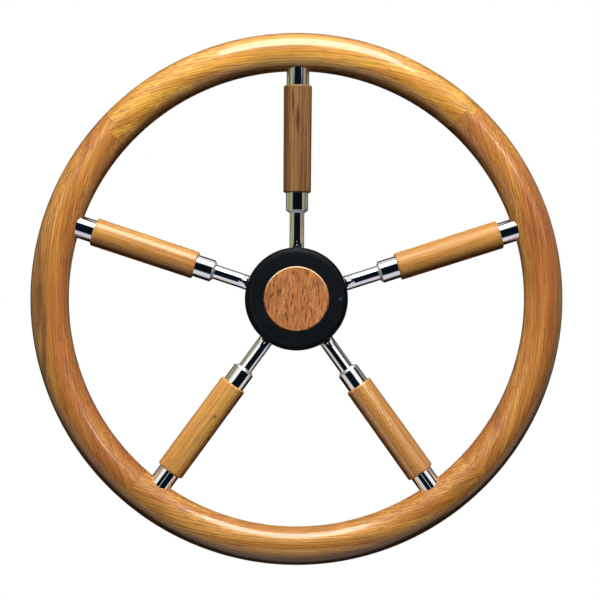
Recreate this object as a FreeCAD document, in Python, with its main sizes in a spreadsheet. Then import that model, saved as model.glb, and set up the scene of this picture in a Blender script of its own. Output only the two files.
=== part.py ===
import FreeCAD, Part
import Sketcher
import math
import os

# Boat steering wheel: a teak rim of four lapped segments on five steel rods, each with a turned teak
# grip held between a collar and a sleeve. The rods bend back to a steel hub, bored with a taper for the
# helm shaft and closed in front by a black cap with a teak disc.
#
# The wheel's axis lies along Y, its face looks along -Y, and +Z is up. The origin is the middle of the
# shaft bore's mouth, on the hub's back face. The pieces are drawn with y = 0 on the rim's middle plane,
# local +X running out along the first spoke, and each is then placed in the wheel.

document = FreeCAD.newDocument("SteeringWheel")

driving_sizes = [
    ("wheelDiameter", 450.0, "over the rim"),
    ("rimThickness", 32.4, "diameter of the rim's round section"),
    ("lapStepSetback", 11.7, "rim's outer edge to the step in its lap joints"),
    ("upperRightJointAngle", 46.5, "outer cut of each lap joint, from +X towards +Z"),
    ("upperLeftJointAngle", 136.4, ""),
    ("lowerLeftJointAngle", 225.7, ""),
    ("lowerRightJointAngle", 314.3, ""),
    ("upperRightLapAngle", 1.8, "from the outer cut on to the inner cut of the same joint"),
    ("upperLeftLapAngle", 2.2, ""),
    ("lowerLeftLapAngle", 3.6, ""),
    ("lowerRightLapAngle", 2.5, ""),
    ("spokeCount", 5, ""),
    ("firstSpokeAngle", 90.0, "the first spoke points straight up"),
    ("rodDiameter", 12.5, ""),
    ("rodInRim", 19.5, "depth of the rod's bore from the rim's inner edge"),
    ("bendStart", 51.0, "wheel axis to the place where a rod starts to bend back"),
    ("bendRadius", 20.0, "at the rod's middle line"),
    ("bendAngle", 50.0, ""),
    ("rodToHub", 7.0, "straight length between the bend and the hub"),
    ("rodInHub", 10.0, "depth of the rod's socket in the hub"),
    ("rodFit", 0.05, "radial clearance of a rod in the hub, the rim and its collar"),
    ("sleeveDiameter", 19.2, ""),
    ("sleeveShowing", 12.1, "length of sleeve between the grip and the rim's inner edge"),
    ("sleeveInRim", 7.4, "depth of the sleeve's socket from the rim's inner edge"),
    ("sleeveFit", 0.1, "radial clearance of a sleeve on its rod and in the rim"),
    ("gripOuterDiameter", 24.0, "at the end nearer to the rim"),
    ("gripInnerDiameter", 23.4, "at the end nearer to the hub"),
    ("gripFit", 0.2, "radial clearance of a grip on its rod"),
    ("gripArris", 1.6, "rounding of the grip's two ends"),
    ("collarFromAxis", 72.8, "wheel axis to a collar's bevelled end, which sets the grip's length"),
    ("collarDiameter", 18.8, ""),
    ("collarLength", 16.9, ""),
    ("collarBevelLength", 2.2, "along the rod"),
    ("collarBevelDepth", 2.5, "towards the rod"),
    ("hubSetback", 1.0, "rim's middle plane to the hub's front face"),
    ("hubLength", 51.0, "front face to back face"),
    ("hubTailDiameter", 44.0, "rear cylinder of the hub"),
    ("hubTailLength", 14.0, ""),
    ("hubTailFillet", 12.0, "hollow between the rear cylinder and the shoulder"),
    ("shoulderEdge", 2.4, "width of the band round the hub's widest place"),
    ("seatLand", 1.25, "flat of the spoke seat left round each rod"),
    ("spigotDiameter", 46.0, "front cylinder of the hub, which carries the cap"),
    ("nutRecessDiameter", 34.0, "room for the shaft nut and its washer"),
    ("nutRecessDepth", 18.0, ""),
    ("taperMouthDiameter", 19.05, "large end of the shaft taper, at the hub's back face"),
    ("taperRatio", 12.0, "length of the taper for one unit of diameter"),
    ("keyWidth", 4.76, ""),
    ("keyDepth", 2.4, "depth of the keyway in the taper's wall"),
    ("hubChamfer", 1.0, ""),
    ("ringGrooveDepth", 1.9, "groove for the cap's ring, round the spigot"),
    ("ringGrooveWidth", 3.0, ""),
    ("ringGrooveSetback", 2.0, "hub's front face to the groove"),
    ("capDiameter", 87.0, ""),
    ("capThickness", 14.0, "hub's front face to the cap's front"),
    ("capRodClearance", 0.7, "cap's rear edge to the front of the rods"),
    ("capSkirtLength", 6.5, "skirt over the hub's spigot"),
    ("capSkirtWall", 2.6, ""),
    ("capFit", 0.15, "radial clearance of the skirt on the spigot"),
    ("capWeb", 3.0, "wall behind the disc"),
    ("capEdgeRadius", 5.0, "rounding of the cap's front edge"),
    ("discDiameter", 54.9, ""),
    ("discRecessDepth", 4.0, ""),
    ("discProud", 0.6, "height of the disc's face over the cap"),
    ("discGap", 0.35, "groove left round the disc"),
    ("discChamfer", 0.9, ""),
]


class Size:
    """A size with its present value and the expression that works it out from the sheet."""

    def __init__(self, value, text):
        self.value = value
        self.text = text

    def __add__(self, other):
        other = as_size(other)
        return Size(self.value + other.value, f"({self.text} + {other.text})")

    def __sub__(self, other):
        other = as_size(other)
        return Size(self.value - other.value, f"({self.text} - {other.text})")

    def __mul__(self, other):
        other = as_size(other)
        return Size(self.value * other.value, f"({self.text} * {other.text})")

    def __truediv__(self, other):
        other = as_size(other)
        return Size(self.value / other.value, f"({self.text} / {other.text})")

    def __neg__(self):
        return Size(-self.value, f"(-1 * {self.text})")


def as_size(number):
    return number if isinstance(number, Size) else Size(float(number), str(number))


def sine(angle):
    return Size(math.sin(math.radians(angle.value)), f"sin({angle.text})")


def cosine(angle):
    return Size(math.cos(math.radians(angle.value)), f"cos({angle.text})")


def make_sheet():
    """Writes the driving sizes to a sheet and gives them back by name."""
    sheet = document.addObject("Spreadsheet::Sheet", "Sizes")
    named = {}
    for row, (alias, value, note) in enumerate(driving_sizes, 1):
        sheet.set(f"A{row}", alias)
        sheet.set(f"B{row}", str(value))
        sheet.set(f"C{row}", note)
        sheet.setAlias(f"B{row}", alias)
        named[alias] = Size(float(value), f"Sizes.{alias}")
    document.recompute()
    return named


size = make_sheet()
zero = as_size(0)
full_turn = as_size(360)
overcut = 1.3  # tools and cutting outlines reach this many times as far as what they cut
near = 0.01  # millimetres within which two places count as one

# Places that several pieces share, all measured from the wheel's axis or from the rim's middle plane.
rim_radius = size["rimThickness"] / 2
rim_centre = size["wheelDiameter"] / 2 - rim_radius
rim_inside = rim_centre - rim_radius
rod_radius = size["rodDiameter"] / 2
rod_end = rim_inside + size["rodInRim"]
sleeve_end = rim_inside + size["sleeveInRim"]
grip_end = rim_inside - size["sleeveShowing"]
collar_start = size["collarFromAxis"]
grip_start = collar_start + size["collarLength"]
hub_front = size["hubSetback"]
hub_back = hub_front + size["hubLength"]
taper_mouth = size["taperMouthDiameter"] / 2

# Direction of a rod behind its bend, towards the axis and back, and the square to it.
inward = -cosine(size["bendAngle"])
backward = sine(size["bendAngle"])
bend_end_radius = size["bendStart"] - size["bendRadius"] * backward
bend_end_depth = size["bendRadius"] * (inward + 1)
seat_radius = bend_end_radius + inward * size["rodToHub"]
seat_depth = bend_end_depth + backward * size["rodToHub"]


def bind(item, name, value):
    item.setExpression(name, value.text)


def spoke_placement(turn=0):
    """Turns local +X out along a spoke and brings the rim's middle plane to its place."""
    angle = size["firstSpokeAngle"].value - full_turn.value * turn / size["spokeCount"].value
    rotation = FreeCAD.Rotation(FreeCAD.Vector(0, -1, 0), angle)
    return FreeCAD.Placement(FreeCAD.Vector(0, -hub_back.value, 0), rotation)


def wheel_placement():
    return FreeCAD.Placement(FreeCAD.Vector(0, -hub_back.value, 0), FreeCAD.Rotation())


def new_body(label):
    body = document.addObject("PartDesign::Body", label)
    body.Label = label
    return body


def origin_part(body, role):
    return next(item for item in body.Origin.OriginFeatures if item.Role == role)


def new_sketch(body, name, plane="XY_Plane"):
    sketch = body.newObject("Sketcher::SketchObject", name)
    sketch.AttachmentSupport = (origin_part(body, plane), [""])
    sketch.MapMode = "FlatFace"
    return sketch


def pin_point(sketch, edge, end, across, along):
    """Holds one end of a sketch edge at two sizes from the sketch's origin."""
    for kind, axis, place in (("DistanceX", -2, across), ("DistanceY", -1, along)):
        if place is zero:
            sketch.addConstraint(Sketcher.Constraint("PointOnObject", edge, end, axis))
        else:
            number = sketch.addConstraint(Sketcher.Constraint(kind, -1, 1, edge, end, place.value))
            sketch.setExpression(f"Constraints[{number}]", place.text)


def draw_outline(sketch, corners):
    """Draws a closed outline of straight edges through corners, each given as two sizes."""
    points = [FreeCAD.Vector(across.value, along.value, 0) for across, along in corners]
    count = len(points)
    for number in range(count):
        line = Part.LineSegment(points[number], points[(number + 1) % count])
        sketch.addGeometry(line, False)
    for number in range(count):
        following = (number + 1) % count
        sketch.addConstraint(Sketcher.Constraint("Coincident", number, 2, following, 1))
    for number, (across, along) in enumerate(corners):
        pin_point(sketch, number, 1, across, along)


def draw_circle(sketch, radius, across=zero, along=zero):
    centre = FreeCAD.Vector(across.value, along.value, 0)
    sketch.addGeometry(Part.Circle(centre, FreeCAD.Vector(0, 0, 1), radius.value), False)
    pin_point(sketch, 0, 3, across, along)
    number = sketch.addConstraint(Sketcher.Constraint("Radius", 0, radius.value))
    sketch.setExpression(f"Constraints[{number}]", radius.text)


def revolve(body, name, sketch, axis):
    """Turns a sketch into a solid about the sketch's own H_Axis or V_Axis."""
    feature = body.newObject("PartDesign::Revolution", name)
    feature.Profile = sketch
    feature.ReferenceAxis = (sketch, [axis])
    feature.Angle = full_turn.value
    document.recompute()
    return feature


def round_edges(feature, radius):
    """Names the round edges of a feature that have a given radius."""
    names = []
    for number, edge in enumerate(feature.Shape.Edges, 1):
        if isinstance(edge.Curve, Part.Circle) and abs(edge.Curve.Radius - radius) < near:
            names.append(f"Edge{number}")
    return names


def dress(body, kind, name, base, edges, prop, amount):
    """Adds a fillet or a chamfer to edges of a feature."""
    feature = body.newObject(kind, name)
    feature.Base = (base, edges)
    bind(feature, prop, amount)
    document.recompute()
    return feature


def make_rod(label, turn):
    """Steel rod: straight in the rim's plane, bent back at its inner end and on to its hub socket."""
    body = new_body(label)
    path = new_sketch(body, label + "_path")
    bend_centre = FreeCAD.Vector(size["bendStart"].value, size["bendRadius"].value, 0)
    bend_end = FreeCAD.Vector(bend_end_radius.value, bend_end_depth.value, 0)
    lower_length = size["rodToHub"] + size["rodInHub"]
    foot = bend_end + FreeCAD.Vector(inward.value, backward.value, 0) * lower_length.value
    bend_circle = Part.Circle(bend_centre, FreeCAD.Vector(0, 0, 1), size["bendRadius"].value)
    last_angle = math.radians(270)
    first_angle = last_angle - math.radians(size["bendAngle"].value)
    outer_end = FreeCAD.Vector(rod_end.value, 0, 0)
    bend_point = FreeCAD.Vector(size["bendStart"].value, 0, 0)
    path.addGeometry(Part.LineSegment(outer_end, bend_point), False)
    path.addGeometry(Part.ArcOfCircle(bend_circle, first_angle, last_angle), False)
    path.addGeometry(Part.LineSegment(bend_end, foot), False)
    pin_point(path, 0, 1, rod_end, zero)
    path.addConstraint(Sketcher.Constraint("Horizontal", 0))
    path.addConstraint(Sketcher.Constraint("Tangent", 0, 2, 1, 2))
    path.addConstraint(Sketcher.Constraint("Tangent", 1, 1, 2, 1))
    pin_point(path, 1, 3, size["bendStart"], size["bendRadius"])
    pin_point(path, 2, 2, bend_end_radius + inward * lower_length, bend_end_depth + backward * lower_length)
    section = new_sketch(body, label + "_section", "YZ_Plane")
    bind(section, "AttachmentOffset.Base.z", rod_end)
    draw_circle(section, rod_radius)
    document.recompute()
    pipe = body.newObject("PartDesign::AdditivePipe", label + "_pipe")
    pipe.Profile = section
    pipe.Spine = (path, ["Edge1", "Edge2", "Edge3"])
    document.recompute()
    body.Placement = spoke_placement(turn)
    return body


def make_ring(label, turn, outline):
    """Piece turned about the spoke's own axis."""
    body = new_body(label)
    sketch = new_sketch(body, label + "_profile")
    draw_outline(sketch, outline)
    revolve(body, label + "_turned", sketch, "H_Axis")
    body.Placement = spoke_placement(turn)
    return body


def make_collar(label, turn):
    """Collar fixed on the rod, with a bevel facing the hub, that stops the grip."""
    bore = rod_radius + size["rodFit"]
    outside = size["collarDiameter"] / 2
    bevelled = collar_start + size["collarBevelLength"]
    outline = [
        (collar_start, bore),
        (collar_start, outside - size["collarBevelDepth"]),
        (bevelled, outside),
        (grip_start, outside),
        (grip_start, bore),
    ]
    return make_ring(label, turn, outline)


def make_sleeve(label, turn):
    """Steel sleeve between the grip and the floor of its socket in the rim."""
    bore = rod_radius + size["sleeveFit"]
    outside = size["sleeveDiameter"] / 2
    outline = [
        (grip_end, bore),
        (grip_end, outside),
        (sleeve_end, outside),
        (sleeve_end, bore),
    ]
    return make_ring(label, turn, outline)


def make_grip(label, turn):
    """Turned teak grip, bored for the rod, a little thicker towards the rim."""
    bore = rod_radius + size["gripFit"]
    outline = [
        (grip_start, bore),
        (grip_start, size["gripInnerDiameter"] / 2),
        (grip_end, size["gripOuterDiameter"] / 2),
        (grip_end, bore),
    ]
    body = make_ring(label, turn, outline)
    turned = body.Tip
    ends = round_edges(turned, size["gripInnerDiameter"].value / 2)
    ends += round_edges(turned, size["gripOuterDiameter"].value / 2)
    dress(body, "PartDesign::Fillet", label + "_arris", turned, ends, "Radius", size["gripArris"])
    return body


def make_hub():
    """Turned steel hub: cap spigot, conical spoke seats, hollow flank and tapered, keyed shaft bore."""
    body = new_body("hub")
    half_seat = rod_radius + size["seatLand"]
    seat_inner = (seat_radius - backward * half_seat, seat_depth + inward * half_seat)
    seat_outer = (seat_radius + backward * half_seat, seat_depth - inward * half_seat)
    tail = size["hubTailDiameter"] / 2
    spigot = size["spigotDiameter"] / 2
    recess = size["nutRecessDiameter"] / 2
    recess_floor = hub_front + size["nutRecessDepth"]
    taper_length = hub_back - recess_floor
    taper_end = taper_mouth - taper_length / size["taperRatio"] / 2
    groove_front = hub_front + size["ringGrooveSetback"]
    groove_back = groove_front + size["ringGrooveWidth"]
    groove_floor = spigot - size["ringGrooveDepth"]
    sketch = new_sketch(body, "hub_profile")
    draw_outline(sketch, [
        (taper_end, recess_floor),
        (recess, recess_floor),
        (recess, hub_front),
        (spigot, hub_front),
        (spigot, groove_front),
        (groove_floor, groove_front),
        (groove_floor, groove_back),
        (spigot, groove_back),
        (spigot, seat_inner[1]),
        seat_inner,
        seat_outer,
        (seat_outer[0], seat_outer[1] + size["shoulderEdge"]),
        (tail, hub_back - size["hubTailLength"]),
        (tail, hub_back),
        (taper_mouth, hub_back),
    ])
    turned = revolve(body, "hub_turned", sketch, "V_Axis")
    sockets = cut_spoke_sockets(body)
    keyed = cut_keyway(body, taper_length)
    flank_depth = hub_back.value - size["hubTailLength"].value
    hollow = [name for name in round_edges(keyed, tail.value)
              if keyed.Shape.getElement(name).CenterOfMass.y < flank_depth + near]
    hollowed = dress(body, "PartDesign::Fillet", "hub_hollow", keyed, hollow, "Radius", size["hubTailFillet"])
    back_edge = [name for name in round_edges(hollowed, tail.value)
                 if hollowed.Shape.getElement(name).CenterOfMass.y > hub_back.value - near]
    dress(body, "PartDesign::Chamfer", "hub_chamfer", hollowed, back_edge, "Size", size["hubChamfer"])
    removed = turned.Shape.Volume - keyed.Shape.Volume
    if not sockets.Shape.Volume < turned.Shape.Volume or removed <= 0:
        raise RuntimeError("the hub's sockets or keyway cut nothing")
    body.Placement = spoke_placement()
    return body


def cut_spoke_sockets(body):
    """Cuts one blind socket along a rod's inner end and repeats it for every spoke."""
    radius = rod_radius + size["rodFit"]
    sketch = new_sketch(body, "hub_socket_profile")
    mouth = (seat_radius - inward * size["seatLand"], seat_depth - backward * size["seatLand"])
    floor = (seat_radius + inward * size["rodInHub"], seat_depth + backward * size["rodInHub"])
    draw_outline(sketch, [
        mouth,
        (mouth[0] + backward * radius, mouth[1] - inward * radius),
        (floor[0] + backward * radius, floor[1] - inward * radius),
        floor,
    ])
    axis = Part.LineSegment(
        FreeCAD.Vector(mouth[0].value, mouth[1].value, 0),
        FreeCAD.Vector(floor[0].value, floor[1].value, 0),
    )
    sketch.addGeometry(axis, True)
    sketch.addConstraint(Sketcher.Constraint("Coincident", 4, 1, 0, 1))
    sketch.addConstraint(Sketcher.Constraint("Coincident", 4, 2, 3, 1))
    groove = body.newObject("PartDesign::Groove", "hub_socket")
    groove.Profile = sketch
    groove.ReferenceAxis = (sketch, ["Axis0"])
    groove.Angle = full_turn.value
    document.recompute()
    pattern = body.newObject("PartDesign::PolarPattern", "hub_sockets")
    pattern.Originals = [groove]
    pattern.Axis = (origin_part(body, "Y_Axis"), [""])
    pattern.Angle = full_turn.value
    bind(pattern, "Occurrences", size["spokeCount"])
    body.Tip = pattern
    document.recompute()
    return pattern


def cut_keyway(body, taper_length):
    """Cuts the keyway, which follows the taper's wall from the hub's back face to the nut recess."""
    sketch = new_sketch(body, "hub_key_profile", "XZ_Plane")
    bind(sketch, "AttachmentOffset.Base.z", -hub_back)
    half_key = size["keyWidth"] / 2
    key_top = taper_mouth + size["keyDepth"]
    draw_outline(sketch, [
        (zero, -half_key),
        (key_top, -half_key),
        (key_top, half_key),
        (zero, half_key),
    ])
    pocket = body.newObject("PartDesign::Pocket", "hub_keyway")
    pocket.Profile = sketch
    pocket.UseCustomVector = True
    slope = 0.5 / size["taperRatio"].value
    pocket.Direction = FreeCAD.Vector(-slope, -1, 0)
    bind(pocket, "Length", taper_length * overcut)
    document.recompute()
    return pocket


def make_cap():
    """Black cap: a thick flange in front of the rods and a skirt that grips the hub's spigot."""
    body = new_body("hub_cap")
    front = hub_front - size["capThickness"]
    recess = size["discDiameter"] / 2 + size["discGap"]
    recess_floor = front + size["discRecessDepth"]
    outside = size["capDiameter"] / 2
    flange_back = -(rod_radius + size["capRodClearance"])
    skirt_inside = size["spigotDiameter"] / 2 + size["capFit"]
    skirt_outside = skirt_inside + size["capSkirtWall"]
    skirt_end = hub_front + size["capSkirtLength"]
    hollow = size["nutRecessDiameter"] / 2
    hollow_top = recess_floor + size["capWeb"]
    sketch = new_sketch(body, "cap_profile")
    draw_outline(sketch, [
        (zero, recess_floor),
        (recess, recess_floor),
        (recess, front),
        (outside, front),
        (outside, flange_back),
        (skirt_outside, flange_back),
        (skirt_outside, skirt_end),
        (skirt_inside, skirt_end),
        (skirt_inside, hub_front),
        (hollow, hub_front),
        (hollow, hollow_top),
        (zero, hollow_top),
    ])
    turned = revolve(body, "cap_turned", sketch, "V_Axis")
    front_edge = [name for name in round_edges(turned, outside.value)
                  if turned.Shape.getElement(name).CenterOfMass.y < front.value + near]
    dress(body, "PartDesign::Fillet", "cap_edge", turned, front_edge, "Radius", size["capEdgeRadius"])
    body.Placement = spoke_placement()
    return body


def make_disc():
    """Teak disc let into the cap, a little proud of it, with a chamfered edge."""
    body = new_body("teak_disc")
    front = hub_front - size["capThickness"]
    radius = size["discDiameter"] / 2
    sketch = new_sketch(body, "disc_outline", "XZ_Plane")
    bind(sketch, "AttachmentOffset.Base.z", -(front + size["discRecessDepth"]))
    draw_circle(sketch, radius)
    pad = body.newObject("PartDesign::Pad", "disc_pad")
    pad.Profile = sketch
    bind(pad, "Length", size["discRecessDepth"] + size["discProud"])
    document.recompute()
    face_edge = [name for name in round_edges(pad, radius.value)
                 if pad.Shape.getElement(name).CenterOfMass.y < front.value]
    dress(body, "PartDesign::Chamfer", "disc_chamfer", pad, face_edge, "Size", size["discChamfer"])
    body.Placement = wheel_placement()
    return body


def make_cap_ring():
    """Rubber ring in the spigot's groove, squeezed between the groove's floor and the cap's skirt."""
    ring = document.addObject("Part::Torus", "cap_ring")
    ring.Label = "cap_ring"
    section = (size["ringGrooveDepth"] + size["capFit"]) / 2
    bind(ring, "Radius1", size["spigotDiameter"] / 2 + size["capFit"] - section)
    bind(ring, "Radius2", section)
    depth = hub_front + size["ringGrooveSetback"] + size["ringGrooveWidth"] / 2
    standing = FreeCAD.Rotation(FreeCAD.Vector(1, 0, 0), 90)
    ring.Placement = FreeCAD.Placement(FreeCAD.Vector(0, depth.value - hub_back.value, 0), standing)
    return ring


def make_drill(name, turn, radius, deepest):
    """Cylinder that stands for a bore from inside the rim out to a given depth."""
    drill = document.addObject("Part::Cylinder", name)
    start = rim_inside - size["sleeveShowing"]
    bind(drill, "Radius", radius)
    bind(drill, "Height", deepest - start)
    outward = FreeCAD.Rotation(FreeCAD.Vector(0, 1, 0), 90)
    at_start = FreeCAD.Placement(FreeCAD.Vector(start.value, 0, 0), outward)
    drill.Placement = spoke_placement(turn).multiply(at_start)
    return drill


def make_drilled_rim():
    """Whole rim ring with a stepped bore for every spoke: the sleeve's socket, then the rod's bore."""
    ring = document.addObject("Part::Torus", "rim_ring")
    bind(ring, "Radius1", rim_centre)
    bind(ring, "Radius2", rim_radius)
    standing = FreeCAD.Rotation(FreeCAD.Vector(1, 0, 0), 90)
    ring.Placement = FreeCAD.Placement(FreeCAD.Vector(0, -hub_back.value, 0), standing)
    drills = []
    for turn in range(int(size["spokeCount"].value)):
        socket = size["sleeveDiameter"] / 2 + size["sleeveFit"]
        drills.append(make_drill(f"sleeve_drill_{turn + 1}", turn, socket, sleeve_end))
        drills.append(make_drill(f"rod_drill_{turn + 1}", turn, rod_radius + size["rodFit"], rod_end))
    tools = document.addObject("Part::MultiFuse", "rim_drills")
    tools.Shapes = drills
    drilled = document.addObject("Part::Cut", "rim_drilled")
    drilled.Base = ring
    drilled.Tool = tools
    return drilled


def polar(radius, angle):
    return (radius * cosine(angle), radius * sine(angle))


def make_segment(label, drilled, first, last):
    """Quarter of the rim between two lap joints, each given by its outer cut and its lap angle."""
    sketch = document.addObject("Sketcher::SketchObject", label + "_outline")
    standing = FreeCAD.Rotation(FreeCAD.Vector(1, 0, 0), 90)
    sketch.Placement = FreeCAD.Placement(FreeCAD.Vector(0, -hub_back.value, 0), standing)
    beyond = size["wheelDiameter"] / 2 * overcut
    step = size["wheelDiameter"] / 2 - size["lapStepSetback"]
    first_cut, first_lap = first
    last_cut, last_lap = last
    draw_outline(sketch, [
        (zero, zero),
        polar(step, first_cut + first_lap),
        polar(step, first_cut),
        polar(beyond, first_cut),
        polar(beyond, (first_cut + last_cut) / 2),
        polar(beyond, last_cut),
        polar(step, last_cut),
        polar(step, last_cut + last_lap),
    ])
    slab = document.addObject("Part::Extrusion", label + "_slab")
    slab.Base = sketch
    slab.DirMode = "Normal"
    slab.Symmetric = True
    slab.Solid = True
    bind(slab, "LengthFwd", size["rimThickness"] * overcut)
    segment = document.addObject("Part::Common", label)
    segment.Label = label
    segment.Base = drilled
    segment.Tool = slab
    return segment


def make_rim():
    drilled = make_drilled_rim()
    upper_right = (size["upperRightJointAngle"], size["upperRightLapAngle"])
    upper_left = (size["upperLeftJointAngle"], size["upperLeftLapAngle"])
    lower_left = (size["lowerLeftJointAngle"], size["lowerLeftLapAngle"])
    lower_right = (size["lowerRightJointAngle"], size["lowerRightLapAngle"])
    lower_right_before = (size["lowerRightJointAngle"] - full_turn, size["lowerRightLapAngle"])
    return [
        make_segment("rim_top", drilled, upper_right, upper_left),
        make_segment("rim_left", drilled, upper_left, lower_left),
        make_segment("rim_bottom", drilled, lower_left, lower_right),
        make_segment("rim_right", drilled, lower_right_before, upper_right),
    ]


def make_spokes():
    pieces = []
    for turn in range(int(size["spokeCount"].value)):
        spoke = f"spoke_{turn + 1}"
        pieces.append(make_rod(spoke + "_rod", turn))
        pieces.append(make_collar(spoke + "_collar", turn))
        pieces.append(make_grip(spoke + "_grip", turn))
        pieces.append(make_sleeve(spoke + "_sleeve", turn))
    return pieces


def check_objects(pieces):
    """Stops before anything is written if an object failed or a piece is not a sound solid."""
    for item in document.Objects:
        if "Invalid" in item.State or "Error" in item.State:
            raise RuntimeError(f"{item.Name} failed: {item.State}")
    for piece in pieces:
        shape = piece.Shape
        if shape.isNull() or not shape.isValid() or len(shape.Solids) != 1:
            raise RuntimeError(f"{piece.Label} is not one valid solid")


pieces = make_rim() + make_spokes() + [make_hub(), make_cap(), make_disc(), make_cap_ring()]
document.recompute()
check_objects(pieces)
os.makedirs("parts", exist_ok=True)
for piece in pieces:
    piece.Shape.exportStep(f"parts/{piece.Label}.step")
    box = piece.Shape.BoundBox
    print(f"{piece.Label}: {piece.Shape.Volume / 1000:.2f} cm3, y {box.YMin:.1f} to {box.YMax:.1f}")
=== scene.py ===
import bpy
import math
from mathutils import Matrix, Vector


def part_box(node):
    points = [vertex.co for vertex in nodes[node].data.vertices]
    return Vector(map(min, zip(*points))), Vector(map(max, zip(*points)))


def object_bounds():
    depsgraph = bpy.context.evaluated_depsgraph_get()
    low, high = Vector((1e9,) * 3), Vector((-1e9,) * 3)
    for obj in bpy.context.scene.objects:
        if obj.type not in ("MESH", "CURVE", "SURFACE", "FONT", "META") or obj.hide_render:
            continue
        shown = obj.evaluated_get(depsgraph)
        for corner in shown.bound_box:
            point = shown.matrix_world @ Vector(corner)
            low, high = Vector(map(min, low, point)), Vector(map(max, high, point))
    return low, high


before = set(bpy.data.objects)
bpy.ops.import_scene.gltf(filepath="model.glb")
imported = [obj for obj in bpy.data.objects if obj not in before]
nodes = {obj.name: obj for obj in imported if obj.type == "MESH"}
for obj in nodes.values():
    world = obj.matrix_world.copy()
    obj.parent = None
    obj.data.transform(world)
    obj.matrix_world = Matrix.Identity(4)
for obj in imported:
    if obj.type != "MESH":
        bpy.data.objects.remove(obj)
cadLow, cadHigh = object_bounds()
cadBox = [list(cadLow), list(cadHigh)]
print("frame loaded:", len(nodes), "nodes")

# The wheel's own places, read from the frame: metres, axis along Y, face towards -Y, Z up.
rimLow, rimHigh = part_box("rim_top")
rimPlane = (rimLow.y + rimHigh.y) / 2
wheelRadius = rimHigh.z
middle = Vector((0, rimPlane, 0))      # where the axis meets the rim's plane
spokeCount = sum(name.endswith("_rod") for name in nodes)


class Wire:
    # an output of a shader node, or the bare tree, on which sums and further nodes are built
    def __init__(self, tree, socket=None):
        self.tree = tree
        self.socket = socket

    def node(self, kind, settings=None, inputs=None, output=0):
        made = self.tree.nodes.new(kind)
        for name, setting in (settings or {}).items():
            setattr(made, name, setting)
        for name, source in (inputs or {}).items():
            if isinstance(source, Wire):
                self.tree.links.new(source.socket, made.inputs[name])
            else:
                made.inputs[name].default_value = source
        return Wire(self.tree, made.outputs[output]) if made.outputs else None

    def output(self, name):
        return Wire(self.tree, self.socket.node.outputs[name])

    def sum(self, operation, first, second=0.0):
        return self.node("ShaderNodeMath", {"operation": operation}, {0: first, 1: second})

    def __add__(self, other):
        return self.sum("ADD", self, other)

    def __radd__(self, other):
        return self.sum("ADD", other, self)

    def __sub__(self, other):
        return self.sum("SUBTRACT", self, other)

    def __rsub__(self, other):
        return self.sum("SUBTRACT", other, self)

    def __mul__(self, other):
        return self.sum("MULTIPLY", self, other)

    def __rmul__(self, other):
        return self.sum("MULTIPLY", other, self)

    def __truediv__(self, other):
        return self.sum("DIVIDE", self, other)

    def __rtruediv__(self, other):
        return self.sum("DIVIDE", other, self)

    def __pow__(self, other):
        return self.sum("POWER", self, other)

    def __rpow__(self, other):
        return self.sum("POWER", other, self)

    def eased(self, start, end, low=0.0, high=1.0):
        # smooth step from low to high between two values
        settings = {"interpolation_type": "SMOOTHSTEP"}
        places = {"Value": self, "From Min": start, "From Max": end, "To Min": low, "To Max": high}
        return self.node("ShaderNodeMapRange", settings, places)

    def vectorMath(self, operation, other, output=0):
        settings = {"operation": operation}
        return self.node("ShaderNodeVectorMath", settings, {0: self, 1: other}, output)

    def length(self):
        return self.vectorMath("LENGTH", (0, 0, 0), "Value")

    def fromAxis(self):
        # how far a place lies from the wheel's axis
        return self.vectorMath("MULTIPLY", (1, 0, 1)).length()

    def noise(self, cells, detail=2.0, roughness=0.5):
        # self is a place in metres; cells are counted to the metre, on each axis or on all alike
        counts = cells if isinstance(cells, tuple) else (cells, cells, cells)
        return self.node("ShaderNodeTexNoise", {}, {
            "Vector": self.vectorMath("MULTIPLY", counts),
            "Scale": 1.0, "Detail": detail, "Roughness": roughness})

    def relief(self, strength, depth):
        # a height made into a bump
        return self.node("ShaderNodeBump", {}, {
            "Strength": strength, "Distance": depth, "Height": self})


def paintOver(under, over, mask):
    # one colour over another, as far as the mask says
    return mask.node("ShaderNodeMix", {"data_type": "RGBA"}, {0: mask, 6: under, 7: over}, output=2)


def screen(red, green, blue):
    # a colour as a screen shows it, 0 to 255, in the renderer's own numbers
    linear = []
    for level in (red, green, blue):
        share = level / 255
        linear.append(share / 12.92 if share < 0.04045 else ((share + 0.055) / 1.055) ** 2.4)
    return (*linear, 1.0)


def newFinish(name):
    # an empty material, its tree, and the place on the piece in metres
    material = bpy.data.materials.new(name)
    material.use_nodes = True
    material.node_tree.nodes.clear()
    paint = Wire(material.node_tree)
    return material, paint, paint.node("ShaderNodeTexCoord", output="Object")


def closeFinish(paint, sockets):
    surface = paint.node("ShaderNodeBsdfPrincipled", {}, sockets)
    paint.node("ShaderNodeOutputMaterial", {"target": "ALL"}, {"Surface": surface})


def coat(nodeName, material):
    # gives a CAD node its finish
    for slot in nodes[nodeName].material_slots:
        slot.material = material


# Teak

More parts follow.
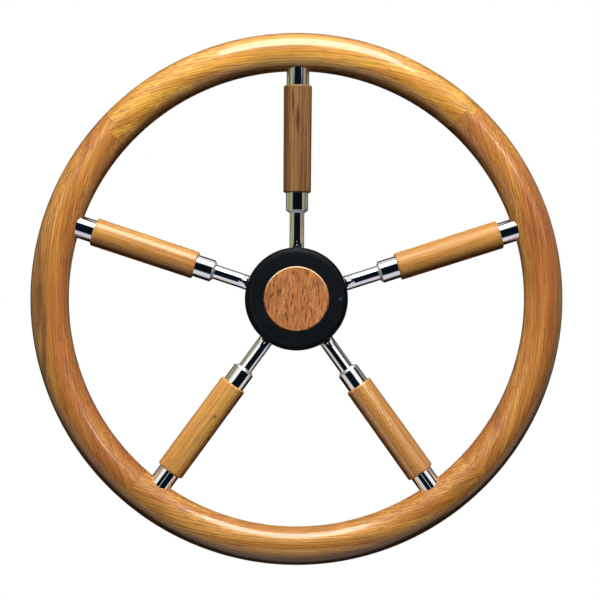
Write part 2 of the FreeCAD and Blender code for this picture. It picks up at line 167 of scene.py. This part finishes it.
teak = {
    "pale": screen(240, 174, 80),
    "gold": screen(210, 138, 60),
    "red": screen(176, 94, 56),
    "brown": screen(126, 74, 42),
    "heart": screen(98, 54, 42),
    "pore": screen(64, 38, 24),
    # how strongly each pattern covers the pale and gold ground, 0 to 1
    "blush": 0.4,
    "rings": 0.5,
    "hearts": 0.35,
    "streaks": 0.55,
    "pores": 0.45,
    # cells of each pattern to the metre, along the grain and twice across it
    "blushCells": (4, 40, 40),
    "driftCells": (4, 17, 17),
    "bandCells": (4, 150, 150),
    "heartCells": (2.5, 85, 85),
    "streakCells": (10, 800, 800),
    "fibreCells": (45, 1400, 1400),
    "poreCells": (110, 1500, 1500),
    "poreStart": 0.63,         # noise level at which a pore begins
    "poreEdge": 0.08,
    "ringGap": 0.0024,         # between two growth rings
    "ringDrift": 0.011,        # how far the rings wander
    "ringFade": 2.5,           # higher is a thinner dark line on each ring
    "bow": (0.0, 0.0),         # how the grain bends, in X over Z squared and in Z over X squared
    "fibreShade": (0.8, 1.14),     # darkest and palest fibre
    "roughness": 0.42,         # of the wood under its varnish
    "fibreRoughness": 0.14,    # what the fibres add to it
    "fibreHeight": 0.4,        # beside a pore's depth of 1
    "reliefStrength": 0.2,
    "reliefDepth": 0.0001,
    "gloss": 0.25,             # specular level of the wood itself
    "stainFade": (0.35, 1.2),  # where a stain starts to fade and where it ends, in half sizes
}

# weight, roughness and refractive index of each varnish
varnish = {
    "rim": (1.0, 0.09, 1.45),
    "grip": (0.6, 0.14, 1.45),
    "thickGrip": (1.0, 0.10, 1.6),
    "dullGrip": (0.12, 0.25, 1.45),
    "disc": (0.5, 0.2, 1.5),
}


def teakColour(paint, spot, grainAngle, place, pith, changes):
    # straight-grained teak, with the grain at an angle from +X towards +Z
    look = {**teak, **changes}
    parts = paint.node("ShaderNodeSeparateXYZ", {}, {"Vector": spot})
    across = parts.output("X")
    up = parts.output("Z")
    bowAcross, bowUp = look["bow"]
    bent = paint.node("ShaderNodeCombineXYZ", {}, {
        "X": across + bowAcross * up * up,
        "Y": parts.output("Y"),
        "Z": up + bowUp * across * across})
    turn = (0, math.radians(grainAngle), 0)
    wood = paint.node("ShaderNodeMapping", {}, {
        "Vector": bent, "Location": place, "Rotation": turn})
    fromPith = wood.vectorMath("SUBTRACT", pith).vectorMath("MULTIPLY", (0, 1, 1)).length()
    drift = wood.noise(look["driftCells"], 1) - 0.5
    ringPlace = (fromPith + drift * look["ringDrift"]) / look["ringGap"]
    ring = paint.sum("FRACT", ringPlace) ** look["ringFade"]
    band = wood.noise(look["bandCells"], 3, 0.6).eased(0.35, 0.6)
    blush = wood.noise(look["blushCells"], 2).eased(0.3, 0.7)
    heart = wood.noise(look["heartCells"], 2, 0.5).eased(0.54, 0.72)
    streak = wood.noise(look["streakCells"], 2, 0.6).eased(0.46, 0.66)
    fibre = wood.noise(look["fibreCells"], 2, 0.7)
    poreStart = look["poreStart"]
    pore = wood.noise(look["poreCells"], 1).eased(poreStart, poreStart + look["poreEdge"])
    colour = paintOver(look["pale"], look["gold"], band)
    for tone, mask in (("red", blush * look["blush"]),
                       ("heart", heart * look["hearts"]),
                       ("brown", ring * look["rings"]),
                       ("brown", streak * look["streaks"]),
                       ("pore", pore * look["pores"])):
        colour = paintOver(colour, look[tone], mask)
    colour = colour.vectorMath("MULTIPLY", fibre.eased(0.25, 0.75, *look["fibreShade"]))
    return colour, fibre, pore


def stained(spot, colour, place, halfSizes, cells, ragged, tone, share):
    # a long or round stain with a ragged edge
    away = spot.vectorMath("SUBTRACT", place).vectorMath("DIVIDE", halfSizes).length()
    edge = away + (spot.noise(cells, 2) - 0.5) * ragged
    start, end = teak["stainFade"]
    return paintOver(colour, tone, edge.eased(start, end, share, 0.0))


def teakFinish(name, grainAngle, place, pith, layer, changes, stains=(), lastPaint=None):
    material, paint, spot = newFinish(name)
    colour, fibre, pore = teakColour(paint, spot, grainAngle, place, pith, changes)
    for stain in stains:
        colour = stained(spot, colour, *stain)
    if lastPaint:
        colour = lastPaint(spot, colour)
    height = fibre * teak["fibreHeight"] - pore
    weight, roughness, index = varnish[layer]
    closeFinish(paint, {
        "Base Color": colour,
        "Roughness": teak["roughness"] + fibre * teak["fibreRoughness"],
        "Normal": height.relief(teak["reliefStrength"], teak["reliefDepth"]),
        "Specular IOR Level": teak["gloss"],
        "Coat Weight": weight, "Coat Roughness": roughness, "Coat IOR": index})
    return material


rim = {
    "stepRadius": wheelRadius - 0.0117,   # steps of the lap joints
    "stepBlur": 0.00001,
    "glueWidth": 0.00035,
    "glue": screen(96, 56, 32),
    # outer cut of each lap joint, from +X towards +Z, how much further round its inner cut lies,
    # and how dark the glue shows in the two
    "joints": {
        "upper_right": (46.5, 1.8, 0.35, 0.3),
        "upper_left": (136.4, 2.2, 0.85, 0.3),
        "lower_left": (225.7, 3.6, 0.3, 0.25),
        "lower_right": (314.3, 2.5, 0.35, 0.4),
    },
    # grain angle, where the plank was cut from, middle of its growth rings, its own tones
    "planks": {
        "rim_top": (0, (0.31, 0.02, 0.05), (0, -0.01, 0.0), {
            "bow": (0, 1.3), "blush": 0.05, "hearts": 0.2,
            "pale": screen(242, 182, 76), "gold": screen(214, 148, 58)}),
        "rim_left": (90, (0.83, 0.11, 0.07), (0, 0.05, -0.10), {
            "bow": (-1.3, 0), "blush": 0.8, "hearts": 0.4}),
        "rim_bottom": (0, (0.57, 0.27, 0.01), (0, 0.23, 0.10), {
            "bow": (0, -1.3), "blush": 0.15, "hearts": 0.25, "pale": screen(240, 176, 86)}),
        "rim_right": (90, (0.12, 0.39, 0.13), (0, 0.33, 0.12), {
            "bow": (1.3, 0), "blush": 0.65, "hearts": 0.3}),
    },
    # dark streak in the left quarter, in two lengths that lean in with the rim: middle, half
    # sizes, cells of the ragged edge to the metre, how ragged, tone, share
    "stains": {
        "rim_left": [
            ((-0.2156, rimPlane, 0.004), (0.0034, 0.05, 0.048), (60, 60, 25), 1.2,
             screen(92, 56, 46), 0.85),
            ((-0.2112, rimPlane, -0.042), (0.0034, 0.05, 0.040), (60, 60, 25), 1.2,
             screen(100, 62, 48), 0.75),
        ],
    },
}


def glueLines(spot, colour):
    # thin dark lines along the stepped joints between the rim's quarters
    parts = spot.node("ShaderNodeSeparateXYZ", {}, {"Vector": spot})
    across = parts.output("X")
    up = parts.output("Z")
    step = rim["stepRadius"]
    outside = spot.fromAxis().eased(step - rim["stepBlur"], step + rim["stepBlur"])
    width = rim["glueWidth"]
    mask = 0.0
    for cut, lap, outer, inner in rim["joints"].values():
        for angle, where, share in ((cut, outside, outer), (cut + lap, 1 - outside, inner)):
            cosine = math.cos(math.radians(angle))
            sine = math.sin(math.radians(angle))
            gap = spot.sum("ABSOLUTE", across * sine - up * cosine)
            onSide = (across * cosine + up * sine).eased(0.0, 0.01)   # this side of the axis only
            line = gap.eased(width / 2, width, share, 0.0) * onSide * where
            mask = spot.sum("MAXIMUM", mask, line)
    return paintOver(colour, rim["glue"], mask)


for nodeName, (grain, place, pith, tones) in rim["planks"].items():
    stains = rim["stains"].get(nodeName, [])
    name = nodeName + "_varnished_teak"
    coat(nodeName, teakFinish(name, grain, place, pith, "rim", tones, stains, glueLines))
print("rim varnished")

grips = {
    "plain": {
        "pale": screen(226, 170, 84), "gold": screen(202, 144, 68),
        "blush": 0.25, "streaks": 0.4, "hearts": 0.15, "pores": 0.3, "rings": 0.2},
    "warm": {
        "pale": screen(246, 186, 98), "gold": screen(224, 162, 82),
        "blush": 0.35, "streaks": 0.4, "hearts": 0.15, "pores": 0.3, "rings": 0.2},
    # the top grip has darker tones: painted shade, as none of its faces turns up to the lamps, with
    # more dark streaks in its wood
    "dark": {
        "pale": screen(172, 128, 76), "gold": screen(154, 111, 64), "red": screen(128, 82, 50),
        "brown": screen(84, 54, 32), "heart": screen(74, 44, 34),
        "blush": 0.3, "streaks": 0.85, "hearts": 0.6, "rings": 0.3},
    "woods": {1: "dark", 3: "warm", 4: "warm"},
    "layers": {3: "thickGrip", 5: "grip"},     # grips whose varnish still shines
    # where in the wood the grips are cut from: start, step from grip to grip, pith from there
    "blankStart": (0, 0.05, 0),
    "blankStep": (0.23, 0.031, 0.17),
    "pithAside": (-0.04, 0.03),
    # two dark streaks on the top grip and a knot on the fourth, as on the rim
    "stains": {
        1: [((-0.0039, -0.064, 0.1675), (0.0015, 0.006, 0.014), (300, 300, 60), 0.8,
             screen(70, 32, 18), 0.8),
            ((0.0004, -0.064, 0.151), (0.0019, 0.006, 0.015), (300, 300, 60), 0.8,
             screen(66, 32, 24), 0.85)],
        4: [((-0.0674, -0.0640, -0.0996), (0.0022, 0.0022, 0.0022), 500, 1.0,
             screen(90, 48, 30), 0.85)],
    },
}

for number in range(1, spokeCount + 1):
    angle = 90 - 360 * (number - 1) / spokeCount
    start, step = grips["blankStart"], grips["blankStep"]
    blank = tuple(start[axis] + step[axis] * number for axis in range(3))
    pith = (0, blank[1] + grips["pithAside"][0], blank[2] + grips["pithAside"][1])
    tones = grips[grips["woods"].get(number, "plain")]
    layer = grips["layers"].get(number, "dullGrip")
    stains = grips["stains"].get(number, [])
    finish = teakFinish(f"grip_{number}_teak", angle, blank, pith, layer, tones, stains)
    coat(f"spoke_{number}_grip", finish)
print("grips finished")

disc = {
    "radius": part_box("teak_disc")[1].z,
    "grain": 90,
    "blank": (0.4, 0.6, 0.2),
    "pith": (0, 0.55, 0.24),
    "tones": {
        "gold": screen(196, 130, 74), "pale": screen(214, 150, 88),
        "blush": 0.5, "rings": 0.0, "streaks": 0.6, "hearts": 0.3, "pores": 0.75,
        "streakCells": (110, 750, 750), "bandCells": (60, 240, 240),
        "heartCells": (120, 300, 300), "poreCells": (180, 1000, 1000), "poreStart": 0.58},
    "bevel": 0.0009,           # width of the disc's bevelled edge
    "bevelBlur": 0.0002,
    # painted highlight on the upper part of the bevel, where it catches the light from above
    "bevelHighlight": screen(226, 196, 150),
    "bevelHighlightShare": 0.9,
    "bevelHighlightFrom": (0.004, 0.018),   # heights over the axis between which the painted highlight comes in
}


def paintedBevelHighlight(spot, colour):
    # painted highlight: the bevel is painted pale along the top, where it catches the light from
    # above
    up = spot.node("ShaderNodeSeparateXYZ", {}, {"Vector": spot}).output("Z")
    edge = disc["radius"] - disc["bevel"]
    mask = spot.fromAxis().eased(edge - disc["bevelBlur"], edge) * up.eased(*disc["bevelHighlightFrom"])
    return paintOver(colour, disc["bevelHighlight"], mask * disc["bevelHighlightShare"])


coat("teak_disc", teakFinish(
    "disc_teak", disc["grain"], disc["blank"], disc["pith"], "disc", disc["tones"],
    lastPaint=paintedBevelHighlight))
print("disc finished")


# Steel

steel = {
    "light": (0.84, 0.85, 0.87, 1),
    "grey": (0.70, 0.71, 0.74, 1),
    "cloudCells": 90,
    "cloudShare": 0.5,
    "scuffCells": 700,
    "smooth": 0.035,           # roughness of the polish
    "scuffed": 0.10,           # and of its scuffs
    "rippleCells": 55,
    "rippleStrength": 0.14,
    "rippleDepth": 0.0004,
    "bevelEnd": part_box("spoke_1_collar")[0].z + 0.0023,     # radius from the axis
    "bevelBlur": 0.0002,
    "satin": 0.48,             # roughness of the collars' bevels
}


def polishedSteel(name, bevelled):
    material, paint, spot = newFinish(name)
    cloud = spot.noise(steel["cloudCells"], 3).eased(0.4, 0.75) * steel["cloudShare"]
    scuff = spot.noise(steel["scuffCells"], 2).eased(0.55, 0.8)
    ripple = spot.noise(steel["rippleCells"], 1)
    rough = scuff.eased(0, 1, steel["smooth"], steel["scuffed"])
    if bevelled:
        end = steel["bevelEnd"]
        onBevel = spot.fromAxis().eased(end, end + steel["bevelBlur"], 1.0, 0.0)
        rough = spot.sum("MAXIMUM", rough, onBevel * steel["satin"])
    closeFinish(paint, {
        "Base Color": paintOver(steel["light"], steel["grey"], cloud),
        "Metallic": 1.0,
        "Roughness": rough,
        "Normal": ripple.relief(steel["rippleStrength"], steel["rippleDepth"])})
    return material


rodSteel = polishedSteel("polished_steel", False)
collarSteel = polishedSteel("bevelled_steel", True)
for number in range(1, spokeCount + 1):
    coat(f"spoke_{number}_rod", rodSteel)
    coat(f"spoke_{number}_sleeve", rodSteel)
    coat(f"spoke_{number}_collar", collarSteel)
print("spokes polished")

hub = {
    "cloudCells": 60,
    "latheLines": 2200,        # to the metre
    "lineStrength": 0.3,
    "lineDepth": 0.0001,
    "roughness": (0.18, 0.34),     # in the grooves and on the ridges
}


def turnedSteel():
    material, paint, spot = newFinish("turned_steel")
    depth = paint.node("ShaderNodeSeparateXYZ", {}, {"Vector": spot}).output("Y")
    lathe = paint.node("ShaderNodeCombineXYZ", {}, {"X": spot.fromAxis(), "Y": depth})
    lines = lathe.noise((hub["latheLines"], hub["latheLines"], 1), 2)
    cloud = spot.noise(hub["cloudCells"], 2).eased(0.35, 0.75)
    closeFinish(paint, {
        "Base Color": paintOver(steel["light"], steel["grey"], cloud),
        "Metallic": 1.0,
        "Roughness": lines.eased(0.2, 0.8, *hub["roughness"]),
        "Normal": lines.relief(hub["lineStrength"], hub["lineDepth"])})
    return material


coat("hub", turnedSteel())
print("hub turned")


# Cap and its ring

cap = {
    "front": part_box("hub_cap")[0].y,
    "dark": screen(10, 14, 18),
    "worn": screen(16, 21, 26),
    "wornShare": 0.4,
    # painted shade: the rounded edge is painted near black, where it turns away from the lamps
    "edge": screen(0, 1, 2),
    "edgeShadeShare": 0.85,
    "edgeStart": 0.0385,       # radius at which the rounded edge begins
    "edgeEnd": 0.0425,
    # painted highlight: a pale patchy line where the rounded edge begins, and a pale spot on it
    "paleGlint": screen(54, 60, 66),
    "paleGlintShare": 0.15,
    "paleGlintWidth": (0.0002, 0.0010),   # half widths in which the painted highlight line fades
    "glintSpot": (0.0369, 0.0007),         # X and radius of a painted highlight spot, level with the axis
    "cloudCells": 45,
    "grainCells": 900,
    "grainStrength": 0.3,
    "grainDepth": 0.0001,
    "gloss": 0.1,                      # specular level
    "roughness": (0.42, 0.54),
    "ringRoughness": (0.62, 0.75),
}


def mouldedBlack(name, roughness):
    material, paint, spot = newFinish(name)
    grain = spot.noise(cap["grainCells"], 3)
    cloud = spot.noise(cap["cloudCells"], 3)
    radius = spot.fromAxis()
    colour = paintOver(cap["dark"], cap["worn"], cloud.eased(0.45, 0.8) * cap["wornShare"])
    # painted shade on the rounded edge
    edgeShade = radius.eased(cap["edgeStart"], cap["edgeEnd"])
    colour = paintOver(colour, cap["edge"], edgeShade * cap["edgeShadeShare"])
    # painted highlight along the start of the rounded edge, and a spot of it level with the axis
    offLine = paint.sum("ABSOLUTE", radius - cap["edgeStart"])
    paleGlint = offLine.eased(*cap["paleGlintWidth"], 1.0, 0.0) * cloud.eased(0.3, 0.7)
    colour = paintOver(colour, cap["paleGlint"], paleGlint * cap["paleGlintShare"])
    place, size = cap["glintSpot"]
    toSpeck = spot.vectorMath("SUBTRACT", (place, cap["front"], 0)).length()
    colour = paintOver(colour, cap["paleGlint"], toSpeck.eased(size, size * 2.5, 1.0, 0.0))
    closeFinish(paint, {
        "Base Color": colour,
        "Roughness": cloud.eased(0.2, 0.8, *roughness),
        "Normal": grain.relief(cap["grainStrength"], cap["grainDepth"]),
        "Specular IOR Level": cap["gloss"]})
    return material


coat("hub_cap", mouldedBlack("moulded_black", cap["roughness"]))
coat("cap_ring", mouldedBlack("ring_rubber", cap["ringRoughness"]))
print("cap and ring finished")


# Studio: a pale floor below, white to the camera, and soft lamps

studio = {
    "floorDrop": 0.30,         # wheel's lowest point to the floor
    "floorSize": 2.3,
    "floorTones": (screen(150, 150, 150), screen(160, 160, 160)),   # as the camera sees it
    "floorCells": 6,
    "floorGlow": 0.75,
    "floorUnseen": screen(24, 24, 24),     # as light finds it on its way back to the wheel
    "fill": 0.003,             # level of the world's own light
    "room": screen(10, 19, 28),
    "panelBlur": 0.35,         # share of a panel over which its edge fades
    # elevation and azimuth in degrees, distance, width and height in metres, radiance, and
    # whether gloss alone shows it
    "lamps": {
        "key": (48, 0, 1.4, 0.9, 0.6, 18.0, False),        # above the camera
        "left": (30, -50, 1.5, 0.9, 0.9, 0.2, False),
        "right": (30, 50, 1.5, 0.9, 0.9, 0.2, False),
        "back": (25, 180, 1.6, 1.0, 1.0, 5.0, False),      # behind the wheel
        "shine": (65, 7, 1.0, 0.70, 0.62, 10.0, True),
    },
    # what else gloss sees in the dark room: direction, half angle in degrees, colour
    "panels": [
        ((-1.00, 0.02, 0.16), 43, (0.42, 0.41, 0.24, 1)),      # left wall
        ((0.92, 0.34, 0.10), 32, (0.26, 0.29, 0.25, 1)),       # right wall, behind
        ((0.93, -0.37, 0.00), 13, (0.52, 0.33, 0.22, 1)),      # right wall, in front
        ((0.80, -0.05, -0.60), 18, (0.80, 0.80, 0.80, 1)),     # lower right
        ((0.00, -0.17, 0.98), 43, (1.00, 1.00, 1.00, 1)),      # ceiling
        ((0.57, -0.68, 0.45), 19, (1.00, 1.00, 1.00, 1)),      # upper right, in front
        ((-0.57, -0.68, 0.45), 19, (1.00, 1.00, 1.00, 1)),     # upper left, in front
        ((0.285, -0.93, 0.235), 4.5, (1.00, 1.00, 1.00, 1)),   # and on towards the camera
        ((-0.285, -0.93, 0.235), 4.5, (1.00, 1.00, 1.00, 1)),
        ((0.476, -0.809, 0.346), 4.5, (7.00, 7.00, 7.00, 1)),  # a brighter one in each
        ((-0.40, -0.866, 0.305), 6, (1.50, 1.50, 1.50, 1)),
        ((0.00, -0.32, -0.95), 34, (0.76, 0.76, 0.84, 1)),     # floor
        ((-0.68, -0.28, -0.68), 23, (0.70, 0.72, 0.74, 1)),    # lower left
        ((0.00, -0.90, -0.44), 7, (0.90, 0.90, 0.90, 1)),      # gap below the camera
        ((0.00, -0.98, -0.17), 2.5, (0.70, 0.80, 0.70, 1)),
    ],
}
white = (1, 1, 1, 1)


def layFloor():
    half = studio["floorSize"] / 2
    low = cadBox[0][2] - studio["floorDrop"]
    mesh = bpy.data.meshes.new("floor")
    corners = [(-half, -half, low), (half, -half, low), (half, half, low), (-half, half, low)]
    mesh.from_pydata(corners, [], [(0, 1, 2, 3)])
    floor = bpy.data.objects.new("floor", mesh)
    bpy.context.scene.collection.objects.link(floor)
    floor.visible_glossy = False
    material, paint, spot = newFinish("pale_floor")
    seen = paint.node("ShaderNodeLightPath", output="Is Camera Ray")
    tone = paintOver(*studio["floorTones"], spot.noise(studio["floorCells"]))
    tone = paintOver(studio["floorUnseen"], tone, seen)
    matt = paint.node("ShaderNodeBsdfDiffuse", {}, {"Color": tone})
    glow = paint.node("ShaderNodeEmission", {}, {
        "Color": white, "Strength": seen * studio["floorGlow"]})
    both = paint.node("ShaderNodeAddShader", {}, {0: matt, 1: glow})
    paint.node("ShaderNodeOutputMaterial", {"target": "ALL"}, {"Surface": both})
    mesh.materials.append(material)


def lightWorld():
    world = bpy.data.worlds.new("studio")
    bpy.context.scene.world = world
    world.use_nodes = True
    world.node_tree.nodes.clear()
    paint = Wire(world.node_tree)
    rays = paint.node("ShaderNodeLightPath")
    sight = paint.node("ShaderNodeTexCoord", output="Generated")
    room = studio["room"]
    for direction, halfAngle, colour in studio["panels"]:
        toward = tuple(Vector(direction).normalized())
        closeness = sight.vectorMath("DOT_PRODUCT", toward, "Value")
        edge = math.cos(math.radians(halfAngle))
        soft = studio["panelBlur"] * (1 - edge)
        room = paintOver(room, colour, closeness.eased(edge - soft, edge + soft))
    fill = (studio["fill"],) * 3 + (1,)
    glossy, through = rays.output("Is Glossy Ray"), rays.output("Is Transmission Ray")
    shown = paintOver(fill, room, paint.sum("MAXIMUM", glossy, through))
    shown = paintOver(shown, white, rays.output("Is Camera Ray"))
    backdrop = paint.node("ShaderNodeBackground", {}, {"Color": shown, "Strength": 1.0})
    paint.node("ShaderNodeOutputWorld", {"target": "ALL"}, {"Surface": backdrop})


def hangLamp(name, elevation, azimuth, distance, width, height, radiance, glossOnly):
    # a soft rectangular lamp, aimed at the wheel
    lamp = bpy.data.lights.new(name, "AREA")
    lamp.shape = "RECTANGLE"
    lamp.size = width
    lamp.size_y = height
    lamp.energy = radiance * math.pi * width * height
    hung = bpy.data.objects.new(name, lamp)
    up = math.radians(elevation)
    aside = math.radians(azimuth)
    toward = Vector((
        math.sin(aside) * math.cos(up), -math.cos(aside) * math.cos(up), math.sin(up)))
    hung.location = middle + toward * distance
    hung.rotation_euler = (-toward).to_track_quat("-Z", "Y").to_euler()
    hung.visible_diffuse = not glossOnly
    hung.visible_glossy = glossOnly
    bpy.context.scene.collection.objects.link(hung)


layFloor()
lightWorld()
for lampName, settings in studio["lamps"].items():
    hangLamp(lampName, *settings)
print("studio lit")


# Camera: straight on the wheel's face

photo = {
    "width": 600,                    # pixels, and as many high
    "wheelMiddle": (296.4, 299.0),   # where the wheel's axis meets the rim's plane
    "rimRadius": 265.9,
    "distance": 1.6,                 # metres
    "farthest": 20,
    "roll": -0.4,                    # degrees
}


def placeCamera():
    camera = bpy.data.cameras.new("camera")
    metresPerPixel = wheelRadius / photo["rimRadius"]
    frameWidth = photo["width"] * metresPerPixel
    camera.lens = camera.sensor_width * photo["distance"] / frameWidth
    camera.clip_end = photo["farthest"]
    right = (photo["width"] / 2 - photo["wheelMiddle"][0]) * metresPerPixel
    down = (photo["width"] / 2 - photo["wheelMiddle"][1]) * metresPerPixel
    held = bpy.data.objects.new("camera", camera)
    held.location = middle + Vector((right, -photo["distance"], -down))
    held.rotation_euler = (math.radians(90), math.radians(photo["roll"]), 0)
    bpy.context.scene.collection.objects.link(held)
    bpy.context.scene.camera = held


placeCamera()
bpy.context.scene.view_settings.view_transform = "Standard"
